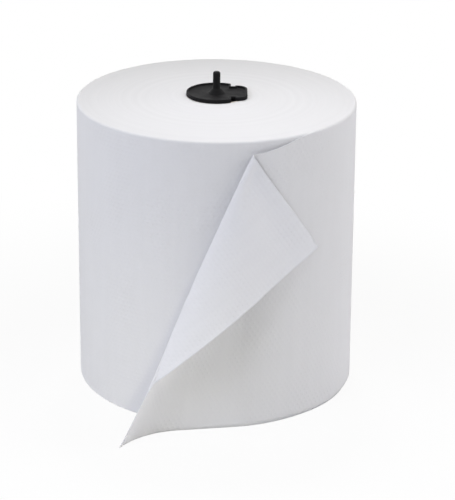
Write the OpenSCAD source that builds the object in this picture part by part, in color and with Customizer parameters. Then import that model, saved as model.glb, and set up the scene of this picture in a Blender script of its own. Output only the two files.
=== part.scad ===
// Hard-wound paper towel roll that stands on its end, with a plastic plug in each end of its core.
// The outer turn has come loose at the front, and its top corner is folded over to the right.
// The origin is on the roll's axis, at the face that it stands on, with +Z up through the pin.

/* [Wound paper] */
// Diameter over the wound paper
roll_dia = 190; // [160:1:205]
// Width of the paper web, which is the height of the standing roll
web_w = 200; // [185:1:260]
// Soft rounding of the wound paper's outer edges
edge_round = 1.6; // [0.6:0.1:4]
// Radial distance between the turn grooves of the end faces
groove_step = 3.5; // [2.5:0.5:8]
// Depth of the turn grooves
groove_depth = 0.3; // [0.1:0.05:0.6]
// Height by which the innermost turns stand proud of the upper end face
inner_rise = 2.2; // [1:0.1:4]
// Radial width of the turns that rise towards the core
rise_w = 24; // [14:1:34]

/* [Core tube] */
// Inner diameter of the cardboard core
core_bore = 38; // [34:0.5:44]
// Wall of the cardboard core
core_wall = 1.5; // [1:0.1:2.5]

/* [Loose outer turn] */
// Thickness of the loose paper web
sheet_t = 0.4; // [0.3:0.05:0.8]
// Length of web that hangs free at the bottom edge, from the roll to the cut end
tail_len = 88; // [80:1:96]
// Direction from the axis at which the bottom edge leaves the roll, in degrees
tail_az = -81; // [-90:1:-74]
// Length of the tail that runs straight before it curls outwards
tail_straight = 40; // [34:1:48]
// Radius of the outward curl at the cut end
curl_r = 52; // [45:1:64]
// Largest stand-off of the slack outer turn, at its bottom edge
slack = 3.8; // [2:0.2:6]
// Direction at which the outer turn begins to go slack, in degrees
slack_from = 25; // [10:1:40]
// Direction at which the slack has reached its full size, in degrees
slack_to = -45; // [-60:1:-30]

/* [Folded corner] */
// Length of cut edge that stays below the fold
edge_below = 50; // [44:1:58]
// Lean of that cut edge away from upright, in degrees
edge_lean = 26.8; // [18:0.2:32]
// Direction from above in which the cut edge leans, in degrees
edge_lean_az = 7; // [-5:1:20]
// Turn round the roll from the tail's root to the top of the fold, in degrees
fold_top_turn = 5; // [2:0.5:9]
// Drop of the fold's upper end below the roll's upper rim
fold_top_drop = 8; // [5:0.5:14]
// Stand-off of the fold's upper end from the wound paper
fold_top_gap = 3.5; // [2:0.1:6]
// Sideways bow of the fold line
fold_bow = 3; // [0:0.5:6]
// Radius of the soft bend at the fold
fold_r = 4; // [2.5:0.1:5]
// Share of that radius which is left at the fold's ends, where it is pinched
fold_pinch = 0.4; // [0.3:0.05:1]
// Length of fold over which it opens out from the cut edge
pinch_len = 80; // [50:5:120]
// Length of fold over which it closes again towards its upper end
top_pinch_len = 45; // [30:5:80]
// Turn round the roll from the top of the fold to the folded corner's tip, in degrees
tip_turn = 30; // [26:1:36]
// Drop of the folded corner's tip below the roll's upper rim
tip_drop = 80; // [74:1:90]
// Stand-off of the folded corner's tip from the wound paper
tip_gap = 2; // [1:0.1:5]
// Crown of the folded corner along its lower edge
corner_crown = 23; // [14:0.5:28]
// Share of the way from the fold to the corner's tip at which the crown is highest
crown_peak = 0.4; // [0.3:0.05:0.5]
// Share of that crown which is lost towards the corner's upper edge
crown_loss = 0.9; // [0.6:0.05:1]
// Direction from above in which the crown swells, in degrees
crown_az = -90; // [-95:1:-80]
// Rise of the crown's swelling above level, in degrees
crown_rise = 14; // [8:1:20]
// Width of the strip along the corner's upper edge that lies down on the roll
lie_len = 32; // [24:2:48]
// Stand-off of that edge from the paper behind it
lie_gap = 1; // [0.8:0.1:2]

/* [Pin plug] */
// Length of the plug's skirt inside the core
skirt_len = 26; // [16:1:40]
// Wall of the skirt
skirt_wall = 1.8; // [1.2:0.1:2.6]
// Radial clearance between the skirt and the core
skirt_gap = 0.3; // [0.1:0.05:0.6]
// Number of crush ribs that grip the core
grip_ribs = 8; // [4:1:12]
// Overhang of the flange past the core's bore
flange_lip = 1.5; // [1:0.1:3]
// Thickness of the flange at its rim
flange_t = 2.6; // [2:0.1:4]
// Width of the raised rim round the flange
rim_w = 1.4; // [1:0.1:2.2]
// Depth of the dish inside the rim
dish_depth = 1.3; // [0.6:0.1:1.6]
// Distance from the axis at which the disc ends and the key tab begins
tab_from = 9.8; // [8:0.1:12]
// Width of the key tab
tab_w = 28; // [22:0.5:30]
// Distance from the axis to the key tab's outer edge
tab_reach = 21; // [20:0.1:24]
// Radius of the key tab's corners
tab_corner = 7; // [4:0.5:8]
// Width of the notches between the disc and the key tab
notch_w = 3; // [2:0.1:4]
// Depth of the notches into the flange, from the key tab's side
notch_depth = 1.8; // [1:0.1:4]
// Diameter of the pin
pin_dia = 5; // [4:0.1:7]
// Length of the pin above the flange's rim
pin_len = 14; // [8:0.5:25]
// Rounding of the pin's tip
pin_tip = 1.4; // [0.5:0.1:1.8]
// Diameter of the boss at the foot of the pin
boss_dia = 11; // [9:0.5:15]
// Height of the boss above the dish
boss_h = 3.2; // [1.5:0.1:5]
// Share of that height at which the boss's shoulder begins
boss_shoulder = 0.55; // [0.3:0.05:0.8]
// Inward lean of the boss's side, from the dish to the shoulder
boss_lean = 1; // [0.2:0.1:1.5]
// Fillet where the pin leaves the boss
pin_fillet = 0.6; // [0.3:0.1:1]

/* [Socket plug] */
// Height of the lower plug inside the core
socket_plug_h = 22; // [16:1:36]
// Thickness of the lower plug's face plate
plate_t = 2.4; // [1.8:0.1:4]
// Inner diameter of the blind socket that takes the holder's pin
socket_dia = 5.6; // [5:0.1:8]
// Depth of the blind socket
socket_depth = 15; // [10:0.5:20]
// Wall round the socket
socket_wall = 2.4; // [1.6:0.1:4]
// Number of webs between the socket and the skirt
plug_webs = 4; // [3:1:6]
// Thickness of each web
plug_web_t = 1.6; // [1:0.1:2.5]

/* [Hidden] */
$fn = 96;
paper_white = [0.93, 0.93, 0.94];
card_grey = [0.72, 0.67, 0.6];
plug_black = [0.13, 0.13, 0.14];
// Overlap of joined shapes, and how far a cut runs past the face that it opens
eps = 0.01;
over = 1;

// Sizes shared by the pieces that fit each other
roll_r = roll_dia / 2;
core_r = core_bore / 2 + core_wall;
core_len = web_w + inner_rise;
skirt_r = core_bore / 2 - skirt_gap;
// Radius of a crush rib, and the plain lead-in at the skirt's inner end
rib_r = 0.8;
rib_lead = 1.5;
flange_r = core_bore / 2 + flange_lip;
flange_z = core_len;
dish_z = flange_z + flange_t - dish_depth;
pin_top = flange_z + flange_t + pin_len;

// Mesh of the loose web: columns along it and rows up it
tail_cols = 18;
wrap_cols = 22;
base_rows = 9;
corner_rows = 13;
// Power by which the rows crowd towards the fold
row_crowd = 1.4;
// Step over which slopes of the web are taken
slope_step = 0.6;
// Length of web from the tail's root back to where the outer turn goes slack
wrap_len = roll_r * (tail_az + fold_top_turn / 2 - slack_from) * -PI / 180;
// Length past the root over which the web's top edge climbs back to the rim
settle_len = 50;
// The bend's reach into each layer and the web that it takes up there, over its radius
bend_reach = 2;
bend_take = 2.7;
// Distance over which the layers lose the space that the bend makes between them
bend_fade = 40;

// Small helpers for directions, eased steps and unit vectors
function polar(az, r, z) = [r * cos(az), r * sin(az), z];
function clamp01(x) = min(max(x, 0), 1);
function ease(x) = let (c = clamp01(x)) c * c * (3 - 2 * c);
// Hump over 0 to 1 that is 1 high at crown_peak
function hump(t) =
    let (fall = 1 / crown_peak - 1)
    t * pow(max(1 - t, 0), fall) / (crown_peak * pow(1 - crown_peak, fall));
function unit(v) = v / norm(v);

// Stand-off of the slack outer turn at a direction and height
function slack_at(az, z) =
    slack * ease((slack_from - az) / (slack_from - slack_to)) * (1 - z / web_w);

// Bottom edge of the tail, for a distance u from the cut end: straight off the roll, then curling out
function bottom_at(u) =
    let (
        s = tail_len - u,
        head = tail_az - 90,
        root = polar(tail_az, roll_r + slack_at(tail_az, 0), 0),
        run = min(s, tail_straight),
        turn = max(s - tail_straight, 0) / curl_r * 180 / PI
    )
    root + polar(head, run, 0)
        + curl_r * [sin(head + turn) - sin(head), cos(head) - cos(head + turn), 0];

// Ends of the fold line and the folded corner's tip
cut_end = bottom_at(0);
fold_low = cut_end + edge_below * [
    sin(edge_lean) * cos(edge_lean_az), sin(edge_lean) * sin(edge_lean_az), cos(edge_lean)];
fold_top = polar(tail_az + fold_top_turn, roll_r + fold_top_gap, web_w - fold_top_drop);
corner_tip = polar(tail_az + fold_top_turn + tip_turn, roll_r + tip_gap, web_w - tip_drop);

// Directions of the folded corner in space: along the fold, away from it, and outwards
fold_dir = unit(fold_top - fold_low);
corner_side = let (e = corner_tip - fold_low) unit(e - (e * fold_dir) * fold_dir);
corner_out = cross(corner_side, fold_dir);
crown_dir = unit(polar(crown_az, 1, tan(crown_rise)));

// The same fold on the flat web: its length, and where the corner lies along and across it
flat_dir = unit([tail_len, web_w - edge_below]);
flat_side = [flat_dir[1], -flat_dir[0]];
flat_len = norm([tail_len, web_w - edge_below]);
flat_foot = (web_w - edge_below) * flat_dir[1];
flat_top = (web_w - edge_below) * flat_dir[0];

function bow_at(t) = 4 * t * (1 - t) * (corner_out - fold_bow * corner_side);
function fold_at(u) =
    let (t = u / tail_len) fold_low + t * (fold_top - fold_low) + bow_at(t);
function fold_height(u) = edge_below + (web_w - edge_below) * u / tail_len;

// The web below the fold: upright lines run from the bottom edge to the fold, or lie on the roll
function tail_at(u, v) =
    let (b = bottom_at(u)) b + v / fold_height(u) * (fold_at(u) - b);
function wrap_at(u, v) =
    let (
        b = bottom_at(tail_len),
        p = b + v / web_w * (fold_at(tail_len) - b),
        k = ease((u - tail_len) / settle_len),
        az = atan2(p[1], p[0]) + (u - tail_len) / roll_r * 180 / PI,
        r0 = norm([p[0], p[1]])
    )
    polar(az, r0 + k * (roll_r + slack_at(az, v) - r0), p[2] + k * (v - p[2]));
function base_at(u, v) = u <= tail_len ? tail_at(u, v) : wrap_at(u, v);
function base_out(u, v) =
    let (
        h = slope_step,
        w = min(max(v, h), web_w - h),
        s = max(u, h)
    )
    unit(cross(base_at(s + h, w) - base_at(s - h, w), base_at(s, w + h) - base_at(s, w - h)));

// The folded corner, a along the fold and x away from it
function corner_at(a, x) =
    let (
        t = x / flat_top,
        foot = fold_low + flat_foot / flat_len * (fold_top - fold_low),
        low = flat_foot * t,
        high = flat_len + (flat_foot - flat_len) * t,
        m = clamp01((a - low) / max(high - low, eps)),
        crown = corner_crown * hump(t) * (1 - crown_loss * m)
    )
    fold_low + a / flat_len * (fold_top - fold_low) + t * (corner_tip - foot)
        + pow(1 - t, 3) * bow_at(clamp01(a / flat_len)) + crown * crown_dir;

// Holds a point of the folded corner off the paper behind it, more so away from the fold
function clear_of_roll(p, x) =
    let (
        az = atan2(p[1], p[0]),
        r = norm([p[0], p[1]]),
        low = roll_r + slack_at(az, p[2]) + tip_gap,
        soft = (low - r + sqrt((r - low) * (r - low) + tip_gap * tip_gap)) / 2
    )
    p + soft * ease(x / (bend_take * fold_r)) * polar(az, 1, 0);

// Lays a point of the corner down near the web's upper edge, just clear of the paper behind it
function lay_down(p, x, v) =
    let (
        az = atan2(p[1], p[0]),
        root_az = tail_az + fold_top_turn * p[2] / web_w,
        away = ease((az - root_az) / 180 * PI * roll_r / settle_len),
        behind = roll_r + fold_top_gap + away * (slack_at(az, p[2]) - fold_top_gap),
        share = (1 - ease((web_w - v) / lie_len)) * ease(x / (bend_reach * fold_r))
    )
    p + share * (behind + lie_gap - norm([p[0], p[1]])) * polar(az, 1, 0);

// Radius of the bend at a distance a along the fold, which is pinched at both ends
function bend_r(a) =
    let (open_up = ease(a / pinch_len) * ease((flat_len - a) / top_pinch_len))
    fold_r * (fold_pinch + (1 - fold_pinch) * open_up);

// Any point of the web from its flat place: u from the cut end, v up from the bottom edge
function sheet_at(u, v) =
    let (
        q = [u, v - edge_below],
        a = q * flat_dir,
        s = -(q * flat_side),
        m = abs(s),
        r = bend_r(a),
        arc = bend_take * r,
        fade = ease(1 - (m - arc) / bend_fade),
        x = m < arc ? bend_reach * r * (1 - cos(90 * m / arc)) : m - (bend_take - bend_reach) * r * fade,
        y = r * (m < arc ? sin(90 * m / arc) : fade),
        g = ease(v / edge_below),
        f = q + (x - m) * g * flat_side,
        fu = max(f[0], 0),
        fv = min(f[1] + edge_below, web_w)
    )
    s > 0 ? lay_down(clear_of_roll(corner_at(a, x) + y * corner_out, x), x, v)
        : base_at(fu, fv) - y / 2 * g * base_out(fu, fv);

// Flat place of a mesh point: rows above base_rows belong to the folded corner
function flat_u(i) = i <= tail_cols ? tail_len * i / tail_cols
    : tail_len + wrap_len * (i - tail_cols) / wrap_cols;
function flat_v(i, j) =
    let (top = i <= tail_cols ? fold_height(flat_u(i)) : web_w)
    j <= base_rows ? top * (1 - pow(1 - j / base_rows, row_crowd))
        : top + (web_w - top) * pow((j - base_rows) / corner_rows, row_crowd);
function rows_at(i) = i < tail_cols ? base_rows + corner_rows : base_rows;
function mesh_index(i, j) =
    let (tall = base_rows + corner_rows + 1, low = base_rows + 1)
    i < tail_cols ? i * tall + j : tail_cols * tall + (i - tail_cols) * low + min(j, base_rows);

// Middle of the web, and its unit normal from neighbouring points
function mesh_mid(i, j) = sheet_at(flat_u(i), flat_v(i, j));
function mesh_out(i, j) =
    let (
        h = slope_step,
        u = flat_u(i),
        v = flat_v(i, j),
        up = j > base_rows || u < h ? v : min(v, fold_height(min(u, tail_len)) - 2 * h),
        du = sheet_at(u + h, up) - sheet_at(max(u - h, 0), up),
        dv = sheet_at(u, min(up + h, web_w)) - sheet_at(u, max(up - h, 0))
    )
    unit(cross(du, dv));

module loose_turn() {
    last = tail_cols + wrap_cols;
    cells = [for (i = [0:last]) for (j = [0:rows_at(i)]) [i, j]];
    mids = [for (c = cells) mesh_mid(c[0], c[1])];
    outs = [for (c = cells) mesh_out(c[0], c[1])];
    n = len(cells);
    // Keeps the bottom edge on the floor and the top edge under the rim
    function seat(p) = [p[0], p[1], min(max(p[2], 0), web_w - eps)];
    front = [for (k = [0:n - 1]) seat(mids[k] + sheet_t / 2 * outs[k])];
    back = [for (k = [0:n - 1]) seat(mids[k] - sheet_t / 2 * outs[k])];
    quads = [for (i = [0:last - 1]) for (j = [0:rows_at(i) - 1])
        [mesh_index(i, j), mesh_index(i + 1, j), mesh_index(i + 1, j + 1), mesh_index(i, j + 1)]];
    tris = [for (q = quads) each
        q[1] == q[2] ? [[q[0], q[1], q[3]]] : [[q[0], q[1], q[2]], [q[0], q[2], q[3]]]];
    // Mesh points round the web's edge, and the narrow faces that close it
    rim = concat(
        [for (i = [0:last]) mesh_index(i, 0)],
        [for (j = [1:base_rows]) mesh_index(last, j)],
        [for (i = [last - 1:-1:tail_cols]) mesh_index(i, base_rows)],
        [for (i = [tail_cols - 1:-1:0]) mesh_index(i, rows_at(i))],
        [for (j = [rows_at(0) - 1:-1:1]) mesh_index(0, j)]);
    m = len(rim);
    sides = [for (k = [0:m - 1]) each
        let (a = rim[k], b = rim[(k + 1) % m]) [[a + n, a, b], [b + n, a + n, b]]];
    polyhedron(
        points = concat(front, back),
        faces = concat(
            [for (t = tris) [t[2], t[1], t[0]]],
            [for (t = tris) [t[0] + n, t[1] + n, t[2] + n]],
            sides));
}

// Half section of the wound paper: shallow grooves between groups of turns on both ends
module wound_section() {
    function top_at(r) = web_w + inner_rise * ease(1 - (r - core_r) / rise_w);
    half = groove_step / 6;
    grooves = [for (r = [core_r + groove_step:groove_step:roll_r - edge_round - groove_step / 2]) r];
    lower = [for (r = grooves) each [[r - half, 0], [r, groove_depth], [r + half, 0]]];
    upper = [for (r = grooves) each
        [[r - half, top_at(r - half)], [r, top_at(r) - groove_depth], [r + half, top_at(r + half)]]];
    outer = [for (a = [0:15:90]) [roll_r - edge_round * (1 - cos(a)), edge_round * (1 - sin(a))]];
    polygon(concat(
        [[core_r, 0]],
        lower,
        [for (k = [len(outer) - 1:-1:0]) outer[k]],
        [for (p = outer) [p[0], web_w - p[1]]],
        [for (k = [len(upper) - 1:-1:0]) upper[k]],
        [[core_r, core_len]]));
}

module towel_web() {
    color(paper_white) union() {
        rotate_extrude() wound_section();
        loose_turn();
    }
}

module core_tube() {
    color(card_grey) difference() {
        cylinder(r = core_r, h = core_len);
        translate([0, 0, -over]) cylinder(r = core_bore / 2, h = core_len + 2 * over);
    }
}

// Crush ribs on a skirt that reach the core's bore
module ribs(z, h) {
    for (k = [0:grip_ribs - 1])
        rotate(360 * k / grip_ribs) translate([core_bore / 2 - rib_r, 0, z])
            cylinder(r = rib_r, h = h, $fn = 32);
}

// Outline of the pin plug's flange: a disc that ends in a key tab, drawn in by inset
module flange_outline(inset) {
    half = tab_w / 2 - inset;
    corner = tab_corner - inset;
    intersection() {
        circle(r = flange_r - inset);
        translate([-2 * flange_r, -2 * flange_r]) square([2 * flange_r + tab_from - inset, 4 * flange_r]);
    }
    translate([0, -half + corner]) square([tab_reach - inset, 2 * half - 2 * corner]);
    translate([0, -half]) square([tab_reach - inset - corner, 2 * half]);
    for (s = [-1, 1]) translate([tab_reach - inset - corner, s * (half - corner)]) circle(r = corner);
}

module pin_plug() {
    notch_y = tab_w / 2 - notch_depth;
    skirt_z = flange_z - skirt_len;
    boss_r = boss_dia / 2;
    pin_r = pin_dia / 2;
    color(plug_black) {
        difference() {
            union() {
                translate([0, 0, flange_z]) linear_extrude(flange_t) flange_outline(0);
                translate([0, 0, skirt_z]) cylinder(r = skirt_r, h = skirt_len + eps);
                ribs(skirt_z + rib_lead, skirt_len - rib_lead);
            }
            translate([0, 0, skirt_z - over]) cylinder(r = skirt_r - skirt_wall, h = skirt_len + over);
            translate([0, 0, dish_z]) linear_extrude(flange_t) flange_outline(rim_w);
            for (s = [-1, 1])
                translate([tab_from, s > 0 ? notch_y : -notch_y - flange_r, flange_z - over])
                    cube([notch_w, flange_r, flange_t + 2 * over]);
        }
        rotate_extrude() polygon(concat(
            [[0, dish_z - eps], [boss_r, dish_z - eps],
                [boss_r - boss_lean, dish_z + boss_h * boss_shoulder],
                [pin_r + pin_fillet, dish_z + boss_h], [pin_r, dish_z + boss_h + pin_fillet]],
            [for (a = [0:15:90]) [pin_r - pin_tip * (1 - cos(a)), pin_top - pin_tip * (1 - sin(a))]],
            [[0, pin_top]]));
    }
}

module socket_plug() {
    boss_r = socket_dia / 2 + socket_wall;
    color(plug_black) difference() {
        union() {
            cylinder(r = skirt_r, h = plate_t);
            difference() {
                cylinder(r = skirt_r, h = socket_plug_h);
                translate([0, 0, plate_t]) cylinder(r = skirt_r - skirt_wall, h = socket_plug_h);
            }
            cylinder(r = boss_r, h = socket_depth + socket_wall);
            for (k = [0:plug_webs - 1]) rotate(360 * k / plug_webs)
                translate([0, -plug_web_t / 2, 0])
                    cube([skirt_r - skirt_wall / 2, plug_web_t, socket_depth]);
            ribs(0, socket_plug_h - rib_lead);
        }
        translate([0, 0, -over]) cylinder(r = socket_dia / 2, h = socket_depth + over);
    }
}

towel_web();
core_tube();
pin_plug();
socket_plug();
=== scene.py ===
"""Looks of a hard-wound paper towel roll that stands on its end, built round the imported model.

Sizes are in millimetres and angles in degrees, as in the part's source. Meshes are made in metres.
The outer turn has come loose at the front, and its top corner is folded over to the right.
"""

import math

import bmesh
import bpy
import numpy as np
from mathutils import Matrix, Vector, noise

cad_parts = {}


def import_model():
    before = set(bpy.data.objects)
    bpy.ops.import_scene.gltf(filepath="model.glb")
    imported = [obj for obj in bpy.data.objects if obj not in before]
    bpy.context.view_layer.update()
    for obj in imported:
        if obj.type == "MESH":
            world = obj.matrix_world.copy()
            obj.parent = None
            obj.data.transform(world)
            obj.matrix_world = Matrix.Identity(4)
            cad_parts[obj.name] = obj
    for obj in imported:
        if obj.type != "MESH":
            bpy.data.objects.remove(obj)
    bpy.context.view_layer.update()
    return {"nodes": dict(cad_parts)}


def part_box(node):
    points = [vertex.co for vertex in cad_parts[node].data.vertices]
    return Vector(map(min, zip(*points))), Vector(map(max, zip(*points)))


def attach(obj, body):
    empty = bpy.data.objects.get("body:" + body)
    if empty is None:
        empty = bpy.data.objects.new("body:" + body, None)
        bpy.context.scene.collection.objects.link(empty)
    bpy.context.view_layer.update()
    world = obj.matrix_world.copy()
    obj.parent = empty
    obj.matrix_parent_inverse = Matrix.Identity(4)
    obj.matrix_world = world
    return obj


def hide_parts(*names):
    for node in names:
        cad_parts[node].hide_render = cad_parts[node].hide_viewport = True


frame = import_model()

MM = 0.001
SEED = 7

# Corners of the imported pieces' boxes that sizes are taken from
web_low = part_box("towel_web")[0]
core_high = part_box("core_tube")[1]
plug_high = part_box("pin_plug")[1]

# Wound paper, whose innermost turns rise to the core's end over RISE_W
ROLL_R = -web_low.x / MM
CORE_R = core_high.x / MM
CORE_LEN = core_high.z / MM
WEB_W = 200.0
RISE_W = 24.0
EDGE_ROUND = 1.6

# Loose outer turn. It goes slack from SLACK_FROM round to SLACK_TO, leaves the roll at TAIL_AZ, and
# ends in a free tail that curls out after a straight stretch.
SHEET_T = 0.36
TAIL_LEN = 88.0
TAIL_AZ = -81.0
TAIL_STRAIGHT = 40.0
CURL_R = 52.0
SLACK = 3.8
SLACK_FROM = 25.0
SLACK_TO = -45.0

# Fold line: EDGE_BELOW of the cut edge stays under it and leans, and its upper end is set off from
# the tail's root by a turn, from the web's upper edge by a drop, and from the roll by a gap
EDGE_BELOW = 50.0
EDGE_LEAN = 26.8
EDGE_LEAN_AZ = 7.0
FOLD_TOP_TURN = 5.0
FOLD_TOP_DROP = 8.0
FOLD_TOP_GAP = 3.5
FOLD_BOW = 3.0

# Bend over the fold, pinched at both ends. It reaches out and takes up paper by multiples of its radius.
FOLD_R = 4.0
FOLD_PINCH = 0.4
PINCH_LEN = 80.0
TOP_PINCH_LEN = 45.0
BEND_REACH = 2.0
BEND_TAKE = 2.7
BEND_FADE = 40.0

# Folded corner: the place of its tip, how it swells out from the roll along its lower edge, and how it
# lies down along its upper edge
TIP_TURN = 30.0
TIP_DROP = 80.0
TIP_GAP = 2.0
CORNER_CROWN = 23.0
CROWN_LOSS = 0.9
CROWN_PEAK = 0.4
CROWN_AZ = -90.0
CROWN_RISE = 14.0
LIE_LEN = 32.0
LIE_GAP = 1.0
SETTLE_LEN = 50.0
WRAP_LEN = ROLL_R * math.radians(SLACK_FROM - TAIL_AZ - FOLD_TOP_TURN / 2)

# Looks of the loose web: curl of the corner's cut edge, soft waves, and how the far end sinks in
CUT_CURL = 0.9
CUT_CURL_W = 6.0
CUT_CURL_FADE = 30.0
COCKLE = 0.3
COCKLE_SIZE = 26.0
FINE_COCKLE = 0.35
WRAP_COCKLE = 0.1
COCKLE_RISE = 12.0
SINK = 0.5
SINK_LEN = 40.0

# Pin plug: skirt, flange with its dish, key tab and notches, then boss and pin
SKIRT_LEN = 26.0
SKIRT_WALL = 1.8
SKIRT_GAP = 0.3
SKIRT_LEAD = 1.2
SKIRT_LEAD_END = 1.8
GRIP_RIBS = 8
RIB_R = 0.8
FLANGE_LIP = 1.5
CORE_WALL = 1.5
CORE_BORE_R = CORE_R - CORE_WALL
FLANGE_R = CORE_BORE_R + FLANGE_LIP
FLANGE_T = 2.6
FLANGE_EDGE = 0.4
RIM_W = 1.4
DISH_DEPTH = 1.3
TAB_FROM = 9.8
TAB_W = 28.0
TAB_REACH = 21.0
TAB_CORNER = 7.0
OUTLINE_SOFTENING = 3
NOTCH_W = 3.0
NOTCH_DEPTH = 1.8
PIN_DIA = 5.0
PIN_TIP = 1.4
PIN_TOP = plug_high.z / MM
BOSS_DIA = 11.0
BOSS_H = 3.2
BOSS_LEAN = 1.0
BOSS_SHOULDER = 0.55
SHOULDER_SOFT = 0.35
PIN_FILLET = 0.6
FLANGE_Z = CORE_LEN
RIM_Z = FLANGE_Z + FLANGE_T
DISH_Z = RIM_Z - DISH_DEPTH

# Colours, in linear light
PAPER = (0.83, 0.83, 0.84)
# Inner face of the loose ply, painted light: lighter and bluer than PAPER, standing in for the light
# that falls on the folded corner
PAPER_INSIDE_PAINTED_LIGHT = (0.875, 0.88, 0.91)
PLUG_BLACK = (0.011, 0.0107, 0.0113)
CORE_BOARD = (0.6, 0.55, 0.48)

# Camera, fitted to the photograph: angles in degrees, and the photograph's height and the focal length
# in pixels
PHOTO_H = 500
CAM_DISTANCE = 1450.0
CAM_ELEVATION = 21.11
CAM_PAN = 0.341
CAM_TILT = -0.406
CAM_ROLL = -0.512
CAM_FOCAL = 2079.0
CAM_AIM_Z = 100.0


def unit(v):
    return v / np.linalg.norm(v, axis=-1, keepdims=True)


def ease(x):
    """A smooth rise from 0 to 1."""
    c = np.clip(x, 0, 1)
    return c * c * (3 - 2 * c)


def hump(t):
    """A hump over 0 to 1 that is 1 high at the crown's peak."""
    fall = 1 / CROWN_PEAK - 1
    return t * np.maximum(1 - t, 0) ** fall / (CROWN_PEAK * (1 - CROWN_PEAK) ** fall)


def polar(az, r, z):
    """A point by its direction round the roll's axis, its distance from the axis, and its height."""
    a = np.radians(az)
    return np.stack(np.broadcast_arrays(r * np.cos(a), r * np.sin(a), z), axis=-1)


def az_of(p):
    return np.degrees(np.arctan2(p[..., 1], p[..., 0]))


def smooth_noise(x, y, size, seed):
    """Soft noise between about -1 and 1, for arrays of places in millimetres."""
    flat = zip(np.ravel(x) / size, np.ravel(y) / size)
    return np.array([noise.noise(Vector((a, b, 3.7 * seed))) for a, b in flat]).reshape(np.shape(x))


# The loose web, as in the part's source: u runs from the cut end and v up from the bottom edge

def slack_at(az, z):
    """Stand-off of the slack outer turn at a direction and height."""
    return SLACK * ease((SLACK_FROM - az) / (SLACK_FROM - SLACK_TO)) * (1 - z / WEB_W)


def bottom_at(u):
    """Bottom edge of the tail: straight off the roll, then curling out."""
    s = TAIL_LEN - np.asarray(u, float)
    head = math.radians(TAIL_AZ - 90)
    run = np.minimum(s, TAIL_STRAIGHT)[..., None]
    turn = head + np.maximum(s - TAIL_STRAIGHT, 0) / CURL_R
    curl = np.stack([np.sin(turn) - math.sin(head), math.cos(head) - np.cos(turn), 0 * turn], axis=-1)
    root = polar(TAIL_AZ, ROLL_R + slack_at(TAIL_AZ, 0), 0.0)
    return root + run * polar(TAIL_AZ - 90, 1.0, 0.0) + CURL_R * curl


lean, lean_az = math.radians(EDGE_LEAN), math.radians(EDGE_LEAN_AZ)
cut_edge_dir = np.array([
    math.sin(lean) * math.cos(lean_az), math.sin(lean) * math.sin(lean_az), math.cos(lean)])
fold_low = bottom_at(0.0) + EDGE_BELOW * cut_edge_dir
fold_top = polar(TAIL_AZ + FOLD_TOP_TURN, ROLL_R + FOLD_TOP_GAP, WEB_W - FOLD_TOP_DROP)
corner_tip = polar(TAIL_AZ + FOLD_TOP_TURN + TIP_TURN, ROLL_R + TIP_GAP, WEB_W - TIP_DROP)
fold_dir = unit(fold_top - fold_low)
to_tip = corner_tip - fold_low
corner_side = unit(to_tip - (to_tip @ fold_dir) * fold_dir)
corner_out = np.cross(corner_side, fold_dir)
crown_dir = unit(polar(CROWN_AZ, 1.0, math.tan(math.radians(CROWN_RISE))))
cut_above = WEB_W - EDGE_BELOW
flat_dir = unit(np.array([TAIL_LEN, cut_above]))
flat_side = np.array([flat_dir[1], -flat_dir[0]])
flat_len = math.hypot(TAIL_LEN, cut_above)
flat_foot = cut_above * flat_dir[1]
flat_top = cut_above * flat_dir[0]


def bow_at(t):
    """How far the fold line bows out of straight, t of the way up."""
    return (4 * t * (1 - t))[..., None] * (corner_out - FOLD_BOW * corner_side)


def fold_at(u):
    """Point of the fold line above a place on the bottom edge."""
    t = np.asarray(u, float) / TAIL_LEN
    return fold_low + t[..., None] * (fold_top - fold_low) + bow_at(t)


def fold_height(u):
    """Flat height of the fold line above a place on the bottom edge."""
    return EDGE_BELOW + cut_above * u / TAIL_LEN


def edge_inset(z):
    """How far the soft edges of the wound paper draw its outer face in at a height."""
    d = np.maximum(EDGE_ROUND - np.minimum(z, WEB_W - z), 0)
    return EDGE_ROUND - np.sqrt(np.maximum(EDGE_ROUND**2 - d * d, 0))


def tail_at(u, v):
    """The free tail, between its bottom edge and the fold line."""
    b = bottom_at(u)
    return b + (v / fold_height(u))[..., None] * (fold_at(u) - b)


def wrap_at(u, v):
    """The slack outer turn, from the tail's root round to where it lies on the roll and sinks in."""
    b = bottom_at(TAIL_LEN)
    p = b + (v / WEB_W)[..., None] * (fold_at(TAIL_LEN) - b)
    along = u - TAIL_LEN
    k = ease(along / SETTLE_LEN)
    az = az_of(p) + np.degrees(along / ROLL_R)
    r0 = np.hypot(p[..., 0], p[..., 1])
    z = p[..., 2] + k * (v - p[..., 2])
    r1 = ROLL_R + slack_at(az, v) - edge_inset(np.clip(z, 0, WEB_W))
    sink = SINK * ease((along - WRAP_LEN + SINK_LEN) / SINK_LEN)
    return polar(az, r0 + k * (r1 - r0) - sink, z)


def base_at(u, v):
    """The web up to the fold line, before the bend over the fold is allowed for."""
    u, v = np.broadcast_arrays(np.asarray(u, float), np.asarray(v, float))
    near = tail_at(np.minimum(u, TAIL_LEN), v)
    far = wrap_at(np.maximum(u, TAIL_LEN), v)
    return np.where((u <= TAIL_LEN)[..., None], near, far)


# Step over which slopes are read
SLOPE_STEP = 0.6


def base_out(u, v):
    """Direction of the outer face of base_at."""
    h = SLOPE_STEP
    w = np.clip(v, h, WEB_W - h)
    s = np.maximum(u, h)
    return unit(np.cross(base_at(s + h, w) - base_at(s - h, w), base_at(s, w + h) - base_at(s, w - h)))


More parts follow.
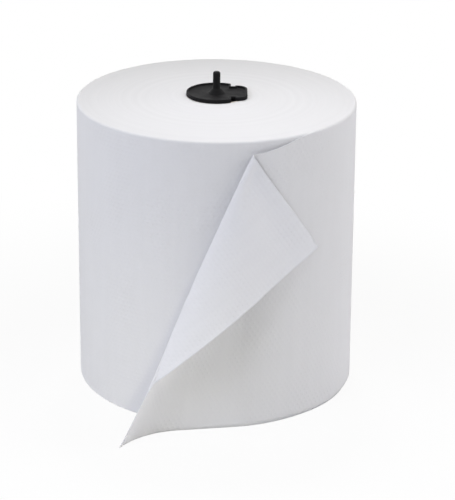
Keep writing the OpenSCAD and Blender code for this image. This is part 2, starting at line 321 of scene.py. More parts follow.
def corner_at(a, x):
    """The folded corner, a along the fold and x away from it."""
    t = x / flat_top
    foot = fold_low + flat_foot / flat_len * (fold_top - fold_low)
    low = flat_foot * t
    high = flat_len + (flat_foot - flat_len) * t
    m = np.clip((a - low) / np.maximum(high - low, 0.01), 0, 1)
    crown = CORNER_CROWN * hump(t) * (1 - CROWN_LOSS * m)
    along = (a / flat_len)[..., None] * (fold_top - fold_low)
    bow = ((1 - t) ** 3)[..., None] * bow_at(np.clip(a / flat_len, 0, 1))
    return fold_low + along + t[..., None] * (corner_tip - foot) + bow + crown[..., None] * crown_dir


def clear_of_roll(p, x):
    """Holds a point of the folded corner off the paper behind it, more so away from the fold."""
    az = az_of(p)
    r = np.hypot(p[..., 0], p[..., 1])
    gap = r - (ROLL_R + slack_at(az, p[..., 2]) + TIP_GAP)
    soft = (np.sqrt(gap * gap + TIP_GAP**2) - gap) / 2
    return p + (soft * ease(x / (BEND_TAKE * FOLD_R)))[..., None] * polar(az, 1.0, 0.0)


def lay_down(p, x, v):
    """Lays the folded corner on the web behind it, fully so at the web's upper edge."""
    az, z = az_of(p), p[..., 2]
    r = np.hypot(p[..., 0], p[..., 1])
    root_az = TAIL_AZ + FOLD_TOP_TURN * z / WEB_W
    away = ease(np.radians(az - root_az) * ROLL_R / SETTLE_LEN)
    behind = ROLL_R + FOLD_TOP_GAP + away * (slack_at(az, z) - FOLD_TOP_GAP)
    share = (1 - ease((WEB_W - v) / LIE_LEN)) * ease(x / (BEND_REACH * FOLD_R))
    return p + ((behind + LIE_GAP - r) * share)[..., None] * polar(az, 1.0, 0.0)


def sheet_at(u, v):
    """Any point of the web from its flat place: s is its distance past the fold, a is along it."""
    u, v = np.broadcast_arrays(np.asarray(u, float), np.asarray(v, float))
    q = np.stack([u, v - EDGE_BELOW], axis=-1)
    a = q @ flat_dir
    s = -(q @ flat_side)
    m = np.abs(s)
    open_up = ease(a / PINCH_LEN) * ease((flat_len - a) / TOP_PINCH_LEN)
    r = FOLD_R * (FOLD_PINCH + (1 - FOLD_PINCH) * open_up)
    arc_len = BEND_TAKE * r
    bend = m < arc_len
    quarter = np.pi / 2 * np.minimum(m / arc_len, 1)
    fade = ease(1 - (m - arc_len) / BEND_FADE)
    flat_on = m - (BEND_TAKE - BEND_REACH) * r * fade
    x = np.where(bend, BEND_REACH * r * (1 - np.cos(quarter)), flat_on)
    y = r * np.where(bend, np.sin(quarter), fade)
    g = ease(v / EDGE_BELOW)
    f = q + ((x - m) * g)[..., None] * flat_side
    fu = np.maximum(f[..., 0], 0)
    fv = np.minimum(f[..., 1] + EDGE_BELOW, WEB_W)
    folded = lay_down(clear_of_roll(corner_at(a, x) + y[..., None] * corner_out, x), x, v)
    lying = base_at(fu, fv) - (y / 2 * g)[..., None] * base_out(fu, fv)
    return np.where((s > 0)[..., None], folded, lying)


def mesh_object(name, verts, faces, materials, kinds, uvs):
    """A smooth mesh in metres from points in millimetres.

    kinds gives each face's material, and uvs the flat place of each corner of each face, in metres.
    """
    mesh = bpy.data.meshes.new(name)
    mesh.from_pydata((np.asarray(verts) * MM).tolist(), [], faces)
    for m in materials:
        mesh.materials.append(m)
    mesh.polygons.foreach_set("material_index", kinds)
    layer = mesh.uv_layers.new(name="web_flat")
    layer.data.foreach_set("uv", np.asarray(uvs, float).ravel())
    mesh.polygons.foreach_set("use_smooth", [True] * len(mesh.polygons))
    mesh.validate()
    mesh.update()
    obj = bpy.data.objects.new(name, mesh)
    bpy.context.scene.collection.objects.link(obj)
    return obj


# Columns and rows of the loose web's mesh, and how near it comes to the floor and the upper edge
TAIL_COLS = 80
WRAP_COLS = 110
LAST_COL = TAIL_COLS + WRAP_COLS
BASE_ROWS = 88
CORNER_ROWS = 84
ROW_CROWD = 1.3
FLOOR_GAP = 0.02
TOP_REACH = 0.1


def rows_at(col):
    """Number of rows of faces in a column. The tail's columns go on past the fold, over the corner."""
    return BASE_ROWS + CORNER_ROWS if col < TAIL_COLS else BASE_ROWS


def point_at(col, row):
    """Number of the point in a column and row."""
    if col < TAIL_COLS:
        return col * (BASE_ROWS + CORNER_ROWS + 1) + row
    before = TAIL_COLS * (BASE_ROWS + CORNER_ROWS + 1)
    return before + (col - TAIL_COLS) * (BASE_ROWS + 1) + min(row, BASE_ROWS)


def web_places():
    """Flat places of the loose web's points, and which of them are on the folded corner."""
    cells = np.array([(i, j) for i in range(LAST_COL + 1) for j in range(rows_at(i) + 1)])
    ci, cj = cells[:, 0], cells[:, 1]
    u = np.where(ci <= TAIL_COLS, TAIL_LEN * ci / TAIL_COLS,
                 TAIL_LEN + WRAP_LEN * (ci - TAIL_COLS) / WRAP_COLS)
    top = np.where(ci <= TAIL_COLS, fold_height(u), WEB_W)
    v_low = top * (1 - (1 - np.minimum(cj / BASE_ROWS, 1)) ** ROW_CROWD)
    v_high = top + (WEB_W - top) * (np.maximum(cj - BASE_ROWS, 0) / CORNER_ROWS) ** ROW_CROWD
    return u, np.where(cj <= BASE_ROWS, v_low, v_high), cj > BASE_ROWS


def web_out(u, v, folded):
    """Direction of the sheet's outer face, read a little below the fold for the points on it."""
    h = SLOPE_STEP
    held = np.minimum(v, fold_height(np.minimum(u, TAIL_LEN)) - 2 * h)
    up = np.where(folded | (u < h), v, held)
    du = sheet_at(u + h, up) - sheet_at(np.maximum(u - h, 0), up)
    dv = sheet_at(u, np.minimum(up + h, WEB_W)) - sheet_at(u, np.maximum(up - h, 0))
    return unit(np.cross(du, dv))


def web_softness(u, v):
    """Soft waves over the loose paper, less the curl of the folded corner's cut edge."""
    loose = 1 - (1 - WRAP_COCKLE) * ease((u - TAIL_LEN) / SETTLE_LEN)
    fine = FINE_COCKLE * smooth_noise(u, v, COCKLE_SIZE / 3, 2)
    wave = COCKLE * loose * (smooth_noise(u, v, COCKLE_SIZE, 1) + fine)
    past_fold = ease((v - fold_height(np.minimum(u, TAIL_LEN))) / CUT_CURL_FADE)
    curl = CUT_CURL * past_fold * np.clip(1 - u / CUT_CURL_W, 0, 1) ** 2
    return wave * ease(v / COCKLE_RISE) - curl


def web_rim():
    """Numbers of the points on the sheet's edge, once round."""
    rim = [point_at(i, 0) for i in range(LAST_COL + 1)]
    rim += [point_at(LAST_COL, j) for j in range(1, BASE_ROWS + 1)]
    rim += [point_at(i, BASE_ROWS) for i in range(LAST_COL - 1, TAIL_COLS - 1, -1)]
    rim += [point_at(i, rows_at(i)) for i in range(TAIL_COLS - 1, -1, -1)]
    rim += [point_at(0, j) for j in range(rows_at(0) - 1, 0, -1)]
    return rim


def loose_web(outer, inner):
    """The free end of the web: a thin sheet with an outer face, an inner face and an edge all round."""
    u, v, folded = web_places()
    out = web_out(u, v, folded)
    mid = sheet_at(u, v) + web_softness(u, v)[:, None] * out

    def seat(p):
        """Keeps the sheet above the floor and level with the roll's upper end."""
        return np.column_stack([p[:, :2], np.clip(p[:, 2], FLOOR_GAP, WEB_W + TOP_REACH)])

    front = seat(mid + SHEET_T / 2 * out)
    back = seat(mid - SHEET_T / 2 * out)
    n = len(u)
    faces, kinds = [], []
    for i in range(LAST_COL):
        for j in range(rows_at(i)):
            q = [point_at(i, j), point_at(i + 1, j), point_at(i + 1, j + 1), point_at(i, j + 1)]
            if q[1] == q[2]:
                q = [q[0], q[1], q[3]]
            faces += [q, [k + n for k in reversed(q)]]
            kinds += [0, 1]

    # The edge is shaded flat, so that both faces keep their own shading up to it
    smooth = len(faces)
    rim = web_rim()
    for a, b in zip(rim, rim[1:] + rim[:1]):
        faces.append([b, a, a + n, b + n])
        kinds.append(1)
    flat = np.column_stack([u, v]) * MM
    corners = [k % n for f in faces for k in f]
    made = mesh_object("loose_outer_turn", np.vstack([front, back]), faces, [outer, inner],
                       kinds, flat[corners])
    made.data.polygons.foreach_set("use_smooth", [k < smooth for k in range(len(faces))])
    return made


# Steps of the wound paper's mesh, depths of its turns on the ends, and waves on its face
SPOKES = 288
END_RING = 0.6
FACE_ROWS = 50
ROUND_STEP = 15
TURN_DEPTH = 0.045
LOWER_TURN_DEPTH = 0.1
FACE_WAVE = 0.07
FACE_WAVE_SIZE = 17.0
FACE_WAVE_BAND = 90
LOWER_TURN_RATE = 2.3


def ring_heights(count, rng):
    """Small random steps between neighbouring turns, softened, with broad ones over many turns."""
    steps = rng.normal(size=count)
    soft = np.convolve(steps, [0.2, 0.6, 0.2], mode="same")
    broad = np.convolve(rng.normal(size=count), np.hanning(15) / 4, mode="same")
    return 0.5 * soft + 0.8 * broad


def roll_profile():
    """Radius, height and kind of each ring: out over the upper end, down the face, in below."""
    def inset(share):
        return EDGE_ROUND * (1 - share)

    end_r = np.arange(CORE_R, ROLL_R - EDGE_ROUND, END_RING)
    round_a = np.radians(np.arange(0, 91, ROUND_STEP))
    face_z = np.linspace(EDGE_ROUND, WEB_W - EDGE_ROUND, FACE_ROWS + 2)[1:-1]
    profile = [(r, WEB_W, "upper_end") for r in end_r]
    profile += [(ROLL_R - inset(math.sin(a)), WEB_W - inset(math.cos(a)), "edge") for a in round_a]
    profile += [(ROLL_R, z, "face") for z in face_z[::-1]]
    profile += [(ROLL_R - inset(math.cos(a)), inset(math.sin(a)), "edge") for a in round_a]
    profile += [(r, 0.0, "lower_end") for r in end_r[::-2]]
    return profile


def ring_points(r, z, kind, height, az):
    """Points of one ring. On the upper end its height swings as it goes round; the face has waves."""
    if kind == "upper_end":
        rise = (CORE_LEN - WEB_W) * ease(1 - (r - CORE_R) / RISE_W)
        swing = 1 + 0.5 * np.sin(2 * az + 0.4 * r) + 0.35 * np.sin(3 * az - 0.23 * r)
        z = z + rise + TURN_DEPTH * height * swing * ease((r - CORE_R) / 2)
    elif kind == "lower_end":
        z = z + LOWER_TURN_DEPTH * abs(math.sin(r * LOWER_TURN_RATE))
    else:
        seed = 5 + round(z / FACE_WAVE_BAND)
        wave = smooth_noise(np.cos(az) * ROLL_R, np.sin(az) * ROLL_R, FACE_WAVE_SIZE, seed)
        r = r + FACE_WAVE * (wave if kind == "face" else 0.5 * wave)
    return np.column_stack(np.broadcast_arrays(r * np.cos(az), r * np.sin(az), z))


def wound_paper(face_material, end_material):
    """The wound turns: both ends with their fine rings, soft edges, and the outer face."""
    profile = roll_profile()
    turns = [kind for r, z, kind in profile].count("upper_end")
    heights = np.zeros(len(profile))
    heights[:turns] = ring_heights(turns, np.random.default_rng(SEED))
    az = np.arange(SPOKES + 1) / SPOKES * 2 * np.pi
    points = [ring_points(*ring, height, az[:-1]) for ring, height in zip(profile, heights)]
    faces, kinds, uvs = [], [], []
    for n in range(len(profile)):
        m = (n + 1) % len(profile)
        (_, z0, kind0), (_, z1, kind1) = profile[n], profile[m]
        kind = 0 if "face" in (kind0, kind1) else 1
        for k in range(SPOKES):
            k1 = (k + 1) % SPOKES
            faces.append([n * SPOKES + k, m * SPOKES + k, m * SPOKES + k1, n * SPOKES + k1])
            kinds.append(kind)
            u0, u1 = az[k] * ROLL_R, az[k + 1] * ROLL_R
            uvs += [(u0, z0), (u0, z1), (u1, z1), (u1, z0)]
    return mesh_object("wound_paper", np.vstack(points), faces, [face_material, end_material],
                       kinds, np.array(uvs) * MM)


def soften(loop, passes):
    """Rounds a closed loop's corners a little, and keeps its number of points."""
    for _ in range(passes):
        loop = (np.roll(loop, 1, axis=0) + 2 * loop + np.roll(loop, -1, axis=0)) / 4
    return loop


def line(a, b, n):
    """n evenly spaced points from a towards b, without b."""
    t = np.arange(n)[:, None] / n
    return np.array(a) + t * (np.array(b) - np.array(a))


def whole_arc(cx, cy, r, a0, a1, n):
    """n + 1 points of an arc between two angles."""
    a = np.radians(np.linspace(a0, a1, n + 1))
    return np.column_stack([cx + r * np.cos(a), cy + r * np.sin(a)])


def arc(cx, cy, r, a0, a1, n):
    """An arc without its last point, where the next stretch of the outline starts."""
    return whole_arc(cx, cy, r, a0, a1, n)[:-1]


def flange_loop(inset):
    """Outline of the flange drawn in by inset: a disc, a notch each side, and a key tab towards +X."""
    r = FLANGE_R - inset
    chord_x = TAB_FROM - inset
    notch_x = TAB_FROM + NOTCH_W + inset
    notch_y = TAB_W / 2 - NOTCH_DEPTH - inset
    corner_x, corner_y = TAB_REACH - TAB_CORNER, TAB_W / 2 - TAB_CORNER
    corner_r = TAB_CORNER - inset
    a_disc = math.degrees(math.acos(chord_x / r))
    start_x = max(notch_x, corner_x)
    a_tab = math.degrees(math.acos((start_x - corner_x) / corner_r))
    side_y = corner_y + corner_r * math.sin(math.radians(a_tab))
    half = [
        arc(corner_x, corner_y, corner_r, 0, a_tab, 40),
        line((start_x, side_y), (notch_x, side_y), 4),
        line((notch_x, side_y), (notch_x, notch_y), 8),
        line((notch_x, notch_y), (chord_x, notch_y), 10),
        line((chord_x, notch_y), (chord_x, r * math.sin(math.radians(a_disc))), 18),
        arc(0, 0, r, a_disc, 180, 120),
    ]
    upper = np.vstack(half)
    lower = upper[1:][::-1] * [1, -1]
    far = np.array([[-r, 0.0]])
    front = line((TAB_REACH - inset, -corner_y), (TAB_REACH - inset, corner_y), 24)
    return soften(np.vstack([upper, far, lower, front]), OUTLINE_SOFTENING)


def circle_loop(r, n):
    return arc(0, 0, r, 0, 360, n)


def skirt_loop(n):
    """Outer outline of the skirt with its crush ribs."""
    a = np.arange(n) / n * 2 * np.pi
    step = 2 * np.pi / GRIP_RIBS
    off = (a + step / 2) % step - step / 2
    centre = CORE_BORE_R - RIB_R
    inside = np.maximum(RIB_R**2 - (centre * np.sin(off)) ** 2, 0)
    rib = np.where(np.abs(off) < RIB_R / centre, centre * np.cos(off) + np.sqrt(inside), 0)
    r = np.maximum(CORE_BORE_R - SKIRT_GAP, rib)
    return np.column_stack([r * np.cos(a), r * np.sin(a)])


def add_loop(bm, loop, z):
    """Points of the mesh along a flat outline at a height."""
    return [bm.verts.new((x * MM, y * MM, z * MM)) for x, y in loop]


def bridge(bm, lower, upper):
    """Quads between two loops with as many points, facing away from the axis where upper is higher."""
    n = len(lower)
    for k in range(n):
        k1 = (k + 1) % n
        bm.faces.new([lower[k], lower[k1], upper[k1], upper[k]])


def loop_edges(bm, verts):
    return [bm.edges.get((a, b)) for a, b in zip(verts, verts[1:] + verts[:1])]


def fill_between(bm, outer, inner):
    """Faces that fill the flat room between two outlines."""
    edges = loop_edges(bm, outer) + loop_edges(bm, inner)
    bmesh.ops.triangle_fill(bm, use_beauty=True, use_dissolve=False, edges=edges)


SKIRT_SPOKES = 288
PIN_SPOKES = 64


def flange_section():
    """Inset and height along the flange's section: up its wall, over the rim and down to the dish."""
    e = FLANGE_EDGE
    return np.vstack([
        whole_arc(e, FLANGE_Z + e, e, 270, 180, 2),
        whole_arc(e, RIM_Z - e, e, 180, 90, 4),
        whole_arc(RIM_W - e, RIM_Z - e, e, 90, 0, 3),
        whole_arc(RIM_W + e, DISH_Z + e, e, 180, 270, 2),
    ])


def pin_section():
    """Radius and height from the dish up over the boss, with its soft shoulder, to the pin's tip."""
    boss_r, pin_r = BOSS_DIA / 2, PIN_DIA / 2
    boss_top = DISH_Z + BOSS_H
    shoulder_z = DISH_Z + BOSS_H * BOSS_SHOULDER
    shoulder_r = boss_r - BOSS_LEAN
    soft = SHOULDER_SOFT
    return np.vstack([
        whole_arc(boss_r + PIN_FILLET, DISH_Z + PIN_FILLET, PIN_FILLET, 270, 180, 2),
        [(shoulder_r, shoulder_z - soft), (shoulder_r - soft, shoulder_z + soft)],
        whole_arc(pin_r + PIN_FILLET, boss_top + PIN_FILLET, PIN_FILLET, 270, 180, 2),
        whole_arc(pin_r - PIN_TIP, PIN_TOP - PIN_TIP, PIN_TIP, 0, 90, 6),
    ])


def pin_plug(material):
    """The moulded upper plug: flange with its rim and dish, boss and pin, and ribbed skirt."""
    bm = bmesh.new()
    loops = [add_loop(bm, flange_loop(inset), z) for inset, z in flange_section()]
    for a, b in zip(loops, loops[1:]):
        bridge(bm, a, b)

    rings = [add_loop(bm, circle_loop(r, PIN_SPOKES), z) for r, z in pin_section()]
    for a, b in zip(rings, rings[1:]):
        bridge(bm, a, b)
    bm.faces.new(rings[-1])

    # Skirt, open at its lower end, and the flange's underside
    skirt_z = FLANGE_Z - SKIRT_LEN
    plain = circle_loop(CORE_BORE_R - SKIRT_GAP, SKIRT_SPOKES)
    ribbed = skirt_loop(SKIRT_SPOKES)
    inner = circle_loop(CORE_BORE_R - SKIRT_GAP - SKIRT_WALL, SKIRT_SPOKES)
    outer_low = add_loop(bm, plain, skirt_z)
    outer_lead = add_loop(bm, plain, skirt_z + SKIRT_LEAD)
    outer_rib = add_loop(bm, ribbed, skirt_z + SKIRT_LEAD_END)
    outer_top = add_loop(bm, ribbed, FLANGE_Z)
    inner_low = add_loop(bm, inner, skirt_z)
    inner_top = add_loop(bm, inner, FLANGE_Z)
    for lower, upper in ((outer_low, outer_lead), (outer_lead, outer_rib), (outer_rib, outer_top),
                         (inner_low, outer_low), (inner_top, inner_low)):
        bridge(bm, lower, upper)
    bm.faces.new(list(reversed(inner_top)))
    fill_between(bm, loops[0], outer_top)
    fill_between(bm, loops[-1], rings[0])
    bmesh.ops.recalc_face_normals(bm, faces=bm.faces)
    for f in bm.faces:
        f.smooth = True
    mesh = bpy.data.meshes.new("pin_plug_moulding")
    bm.to_mesh(mesh)
    bm.free()
    mesh.materials.append(material)
    obj = bpy.data.objects.new("pin_plug_moulding", mesh)
    bpy.context.scene.collection.objects.link(obj)
    return obj


# Materials

def new_material(name):
    """A material, its node tree and its shader."""
    mat = bpy.data.materials.new(name)
    mat.use_nodes = True
    return mat, mat.node_tree, mat.node_tree.nodes["Principled BSDF"]


def node(tree, kind, inputs=None, **settings):
    """A node with its inputs given as numbers or as sockets of other nodes."""
    made = tree.nodes.new(kind)
    for key, value in settings.items():
        setattr(made, key, value)
    for key, value in (inputs or {}).items():
        if isinstance(value, bpy.types.NodeSocket):
            tree.links.new(value, made.inputs[key])
        else:
            made.inputs[key].default_value = value
    return made


def math_node(tree, operation, a, b=None, clamp=False):
    made = node(tree, "ShaderNodeMath", {0: a}, operation=operation, use_clamp=clamp)
    if isinstance(b, bpy.types.NodeSocket):
        tree.links.new(b, made.inputs[1])
    elif b is not None:
        made.inputs[1].default_value = b
    return made.outputs[0]


def vector_node(tree, operation, a, b=None):
    made = node(tree, "ShaderNodeVectorMath", {0: a}, operation=operation)
    if b is not None:
        made.inputs[1].default_value = b
    return made.outputs["Value" if operation == "LENGTH" else "Vector"]


def even_noise(tree, place, scale, detail):
    """Noise with the same scale along each axis."""
    noise_node = node(tree, "ShaderNodeTexNoise", {"Vector": place, "Scale": scale, "Detail": detail})
    return noise_node.outputs["Fac"]


def stretched_noise(tree, place, stretch, detail):
    """Noise with its own scale along each axis."""
    return even_noise(tree, vector_node(tree, "MULTIPLY", place, stretch), 1.0, detail)


def ring_noise(tree, radius, scale, detail):
    """Noise that changes only with the distance from the roll's axis."""
    noise_node = node(tree, "ShaderNodeTexNoise", {"W": radius, "Scale": scale, "Detail": detail},
                      noise_dimensions="1D")
    return noise_node.outputs["Fac"]


def mapped(tree, value, from_range, to_range, shape="LINEAR"):
    """A value moved from one range to another and held within it."""
    made = node(tree, "ShaderNodeMapRange", {
        "Value": value, "From Min": from_range[0], "From Max": from_range[1],
        "To Min": to_range[0], "To Max": to_range[1]}, interpolation_type=shape)
    return made.outputs["Result"]


def blend_of(tree, a, share_a, b, share_b):
    """Two values added, each with its share."""
    return math_node(tree, "ADD", math_node(tree, "MULTIPLY", a, share_a),
                     math_node(tree, "MULTIPLY", b, share_b))


def bump(tree, height, strength, distance, under=None):
    """A bump, on top of another where that is given."""
    made = node(tree, "ShaderNodeBump", {"Height": height, "Strength": strength, "Distance": distance})
    if under is not None:
        tree.links.new(under, made.inputs["Normal"])
    return made.outputs["Normal"]


def set_surface(tree, bsdf, colour, normal, roughness, specular=None):
    """Colour and bump from nodes, and the rest as numbers on the shader's own sockets."""
    tree.links.new(colour, bsdf.inputs["Base Color"])
    tree.links.new(normal, bsdf.inputs["Normal"])
    if isinstance(roughness, bpy.types.NodeSocket):
        tree.links.new(roughness, bsdf.inputs["Roughness"])
    else:
        bsdf.inputs["Roughness"].default_value = roughness
    if specular is not None:
        bsdf.inputs["Specular IOR Level"].default_value = specular


# Emboss dots in a lattice whose rows run along the web and at 60 degrees to it. Pitch and depth are
# in metres, and a dot's radius is a share of the pitch.
DOT_PITCH = 0.0036
DOT_R = 0.36
EMBOSS = 0.00032


def emboss_height(tree, place):
    """Height of the embossed dots, 0 to 1."""
    wide = math.sqrt(3)
    cells = vector_node(tree, "MULTIPLY", place, (1 / DOT_PITCH, 1 / (DOT_PITCH * wide), 0))
    dots = []
    for shift in (0.0, 0.5):
        moved = vector_node(tree, "ADD", cells, (shift, shift, 0))
        part = vector_node(tree, "FRACTION", moved)
        middle = vector_node(tree, "SUBTRACT", part, (0.5, 0.5, 0))
        true_shape = vector_node(tree, "MULTIPLY", middle, (1, wide, 0))
        away = vector_node(tree, "LENGTH", true_shape)
        dots.append(mapped(tree, away, (0, DOT_R), (1, 0), "SMOOTHSTEP"))
    return math_node(tree, "MAXIMUM", dots[0], dots[1])


def tinted(tree, factor, low, high):
    """A colour between two, by a factor."""
    mix = node(tree, "ShaderNodeMix", {"Factor": factor}, data_type="RGBA")
    mix.inputs["A"].default_value = (*low, 1)
    mix.inputs["B"].default_value = (*high, 1)
    return mix.outputs["Result"]


def shade(colour, k):
    return tuple(c * k for c in colour)


def paper_face(name, paper, emboss_depth):
    """Crepe paper with an embossed dot lattice, in the web's flat places."""
    mat, tree, bsdf = new_material(name)
    place = node(tree, "ShaderNodeUVMap", uv_map="web_flat").outputs["UV"]
    crepe = stretched_noise(tree, place, (2400, 700, 1), 3.0)
    streak = stretched_noise(tree, place, (160, 14, 1), 2.0)
    patch = stretched_noise(tree, place, (38, 30, 1), 2.0)
    press = mapped(tree, patch, (0.35, 0.65), (0.2, 1.0))
    pressed = math_node(tree, "MULTIPLY", emboss_height(tree, place), press)
    tone = blend_of(tree, streak, 0.5, crepe, 0.5)
    colour = tinted(tree, tone, shade(paper, 0.965), shade(paper, 1.035))
    fine = bump(tree, crepe, 0.5, 0.00012)
    set_surface(tree, bsdf, colour, bump(tree, pressed, 0.6, emboss_depth, fine), 0.92, 0.2)
    return mat


def paper_ends():
    """Edges of the wound turns: fine rings with slight differences in tone."""
    mat, tree, bsdf = new_material("paper_ends")
    place = node(tree, "ShaderNodeTexCoord").outputs["Object"]
    radius = vector_node(tree, "LENGTH", vector_node(tree, "MULTIPLY", place, (1, 1, 0)))
    rings = ring_noise(tree, radius, 2600.0, 2.0)
    bands = ring_noise(tree, radius, 260.0, 2.0)
    fuzz = even_noise(tree, place, 900.0, 3.0)
    tone = blend_of(tree, rings, 0.35, bands, 0.65)
    colour = tinted(tree, tone, shade(PAPER, 0.965), shade(PAPER, 1.04))
    height = math_node(tree, "ADD", rings, math_node(tree, "MULTIPLY", fuzz, 0.4))
    set_surface(tree, bsdf, colour, bump(tree, height, 0.35, 0.00012), 0.95, 0.15)
    return mat


def plug_plastic():
    """Black moulded plastic with a fine satin grain and slightly uneven gloss."""
    mat, tree, bsdf = new_material("plug_plastic")
    place = node(tree, "ShaderNodeTexCoord").outputs["Object"]
    grain = even_noise(tree, place, 1500.0, 3.0)
    cloud = even_noise(tree, place, 160.0, 3.0)
    colour = tinted(tree, cloud, shade(PLUG_BLACK, 0.75), shade(PLUG_BLACK, 1.3))
    rough = mapped(tree, cloud, (0.3, 0.7), (0.5, 0.64))
    set_surface(tree, bsdf, colour, bump(tree, grain, 0.3, 0.00005), rough, 0.06)
    return mat


def core_board():
    """Core board: grey-brown, with fibres that lie mostly along the tube."""
    mat, tree, bsdf = new_material("core_board")
    place = node(tree, "ShaderNodeTexCoord").outputs["Object"]
    fibre = stretched_noise(tree, place, (900, 900, 300), 4.0)
    colour = tinted(tree, fibre, shade(CORE_BOARD, 0.8), shade(CORE_BOARD, 1.2))
    set_surface(tree, bsdf, colour, bump(tree, fibre, 0.4, 0.0001), 0.85)
    return mat


# Studio: floor, backdrop, lamps and camera

# The share of plain white that the camera sees in the floor is SEEN_WHITE near the roll, so that its
# shadow shows there, and 1 from three times SHADOW_R outwards. Lengths are in metres.
FLOOR_SIZE = 8.0
FLOOR_WHITE = 0.9
SEEN_WHITE = 0.92
SHADOW_R = 0.13
BEAM_R = 0.1

# Tints of the lamps
WHITE = (1, 1, 1)
COOL = (0.87, 0.925, 1.18)
FAINT_BLUE = (0.99, 0.98, 1.03)
WARM = (1.12, 1.07, 0.81)


def seen_directly(tree):
    """1 for camera, glossy and transmission rays, which see the white backdrop."""
    path = node(tree, "ShaderNodeLightPath").outputs
    both = math_node(tree, "ADD", path["Is Camera Ray"], path["Is Glossy Ray"])
    return math_node(tree, "ADD", both, path["Is Transmission Ray"], clamp=True)


def floor():
    """A pale floor that keeps the roll's faint shadow and turns plain white further out."""
    mat, tree, bsdf = new_material("studio_floor")
    bsdf.inputs["Base Color"].default_value = (FLOOR_WHITE, FLOOR_WHITE, FLOOR_WHITE, 1)
    bsdf.inputs["Roughness"].default_value = 1.0
    bsdf.inputs["Specular IOR Level"].default_value = 0.0
    white = node(tree, "ShaderNodeEmission", {"Color": (*WHITE, 1), "Strength": 1.0})
    place = node(tree, "ShaderNodeNewGeometry").outputs["Position"]
    from_axis = vector_node(tree, "LENGTH", place)
    near = mapped(tree, from_axis, (SHADOW_R, 3 * SHADOW_R), (SEEN_WHITE, 1), "SMOOTHSTEP")
    share = math_node(tree, "MULTIPLY", seen_directly(tree), near)
    mix = node(tree, "ShaderNodeMixShader", {0: share, 1: bsdf.outputs[0], 2: white.outputs[0]})
    tree.links.new(mix.outputs[0], tree.nodes["Material Output"].inputs["Surface"])
    half = FLOOR_SIZE / 2
    corners = [(-half, -half, 0), (half, -half, 0), (half, half, 0), (-half, half, 0)]
    mesh = bpy.data.meshes.new("studio_floor")
    mesh.from_pydata(corners, [], [(0, 1, 2, 3)])
    mesh.materials.append(mat)
    obj = bpy.data.objects.new("studio_floor", mesh)
    bpy.context.scene.collection.objects.link(obj)


def world():
    """A white backdrop that gives no light: the lamps do all of that."""
    made = bpy.data.worlds.new("studio_world")
    made.use_nodes = True
    tree = made.node_tree
    dark = tree.nodes["Background"]
    dark.inputs["Strength"].default_value = 0.0
    white = node(tree, "ShaderNodeBackground", {"Color": (*WHITE, 1), "Strength": 1.0})
    share = seen_directly(tree)
    mix = node(tree, "ShaderNodeMixShader", {0: share, 1: dark.outputs[0], 2: white.outputs[0]})
    tree.links.new(mix.outputs[0], tree.nodes["World Output"].inputs["Surface"])
    bpy.context.scene.world = made


def lamp_object(data, place, aim):
    obj = bpy.data.objects.new(data.name, data)
    obj.location = place
    obj.rotation_mode = "QUATERNION"
    obj.rotation_quaternion = (Vector(aim) - Vector(place)).to_track_quat("-Z", "Y")
    bpy.context.scene.collection.objects.link(obj)


def softbox(name, place, size, power, colour=WHITE):
    """A rectangular soft lamp, aimed at the middle of the roll."""
    data = bpy.data.lights.new(name, "AREA")
    data.shape = "RECTANGLE"
    data.size, data.size_y = size
    data.energy = power
    data.color = colour
    lamp_object(data, place, (0, 0, CAM_AIM_Z * MM))


def beam(name, place, aim, cone, power, colour=WHITE):
    """A soft-edged spot lamp."""
    data = bpy.data.lights.new(name, "SPOT")
    data.spot_size = math.radians(cone)
    data.spot_blend = 1.0
    data.shadow_soft_size = BEAM_R
    data.energy = power
    data.color = colour
    lamp_object(data, place, aim)


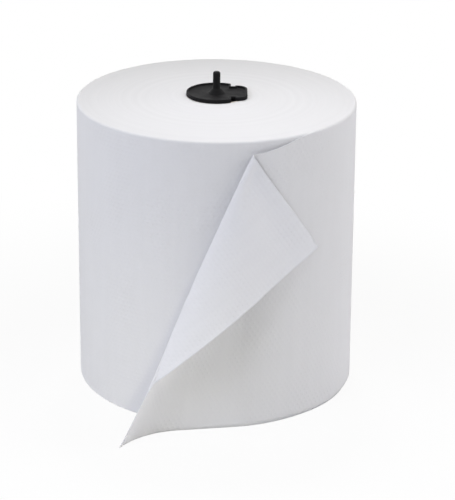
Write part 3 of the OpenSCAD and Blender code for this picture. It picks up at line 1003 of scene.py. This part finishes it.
def lamps():
    """Soft lamps all round, one beam on the front of the upper end, and one on the foot of the tail."""
    softbox("top_light", place=(0, 0, 1.5), size=(1.2, 1.2), power=3.8, colour=WARM)
    softbox("right_light", place=(1.3, 0, 0.5), size=(0.8, 0.9), power=7.3, colour=FAINT_BLUE)
    softbox("left_light", place=(-0.8, -0.9, 1.1), size=(0.8, 0.8), power=5.3, colour=COOL)
    softbox("far_left_light", place=(-1.2, -1.2, 0.9), size=(1.2, 1.2), power=10.3)
    softbox("near_light", place=(0.45, -0.35, 0.6), size=(0.5, 0.5), power=0.9)
    softbox("back_light", place=(-1.0, 0.7, 0.5), size=(0.8, 0.8), power=3.6)
    beam("end_light", place=(0, 0.35, 1.0), aim=(0.02, -0.1, 0.2), cone=32, power=14.5,
         colour=FAINT_BLUE)
    beam("foot_light", place=(0.1, -1.2, 0.4), aim=(-0.045, -0.11, 0.03), cone=9, power=13.2,
         colour=WARM)


def camera():
    """The photograph's camera. It looks along +Y and down, turned a little by pan, tilt and roll."""
    e = math.radians(CAM_ELEVATION)
    forward = np.array([0, math.cos(e), -math.sin(e)])
    right = np.array([1.0, 0, 0])
    up = np.cross(right, forward)
    a, b, c = (math.radians(x) for x in (CAM_PAN, CAM_TILT, CAM_ROLL))
    ry = np.array([[math.cos(a), 0, -math.sin(a)], [0, 1, 0], [math.sin(a), 0, math.cos(a)]])
    rx = np.array([[1, 0, 0], [0, math.cos(b), -math.sin(b)], [0, math.sin(b), math.cos(b)]])
    rz = np.array([[math.cos(c), -math.sin(c), 0], [math.sin(c), math.cos(c), 0], [0, 0, 1]])
    rows = rz @ rx @ ry @ np.array([right, up, forward])
    place = (np.array([0, 0, CAM_AIM_Z]) - forward * CAM_DISTANCE) * MM
    data = bpy.data.cameras.new("camera")
    # The sensor's width lies along the frame's longer side, which is its height
    data.lens = CAM_FOCAL * data.sensor_width / PHOTO_H
    obj = bpy.data.objects.new("camera", data)
    turn = Matrix([[rows[0][k], rows[1][k], -rows[2][k]] for k in range(3)]).to_4x4()
    obj.matrix_world = Matrix.Translation(Vector(place)) @ turn
    bpy.context.scene.collection.objects.link(obj)
    bpy.context.scene.camera = obj


camera()
world()
floor()
lamps()
bpy.context.scene.view_settings.view_transform = "Standard"

face_paper = paper_face("paper_outer_face", PAPER, EMBOSS)
# The inner face gets painted light: a lighter, bluer copy of the paper, with its dots pressed in rather
# than raised
inner_paper_painted_light = paper_face("paper_inner_face_painted_light", PAPER_INSIDE_PAINTED_LIGHT, -EMBOSS)
end_paper = paper_ends()
plastic = plug_plastic()
board = core_board()

roll = wound_paper(face_paper, end_paper)
web = loose_web(face_paper, inner_paper_painted_light)
plug = pin_plug(plastic)
for piece in (roll, web):
    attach(piece, "root")
    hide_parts("towel_web")
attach(plug, "root")
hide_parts("pin_plug")

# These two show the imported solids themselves
for name, material, slot in (
        ("core_tube", board, "core_board"),
        ("socket_plug", plastic, "plug_plastic")):
    solid = frame["nodes"][name]
    solid.data.materials.clear()
    solid.data.materials.append(material)
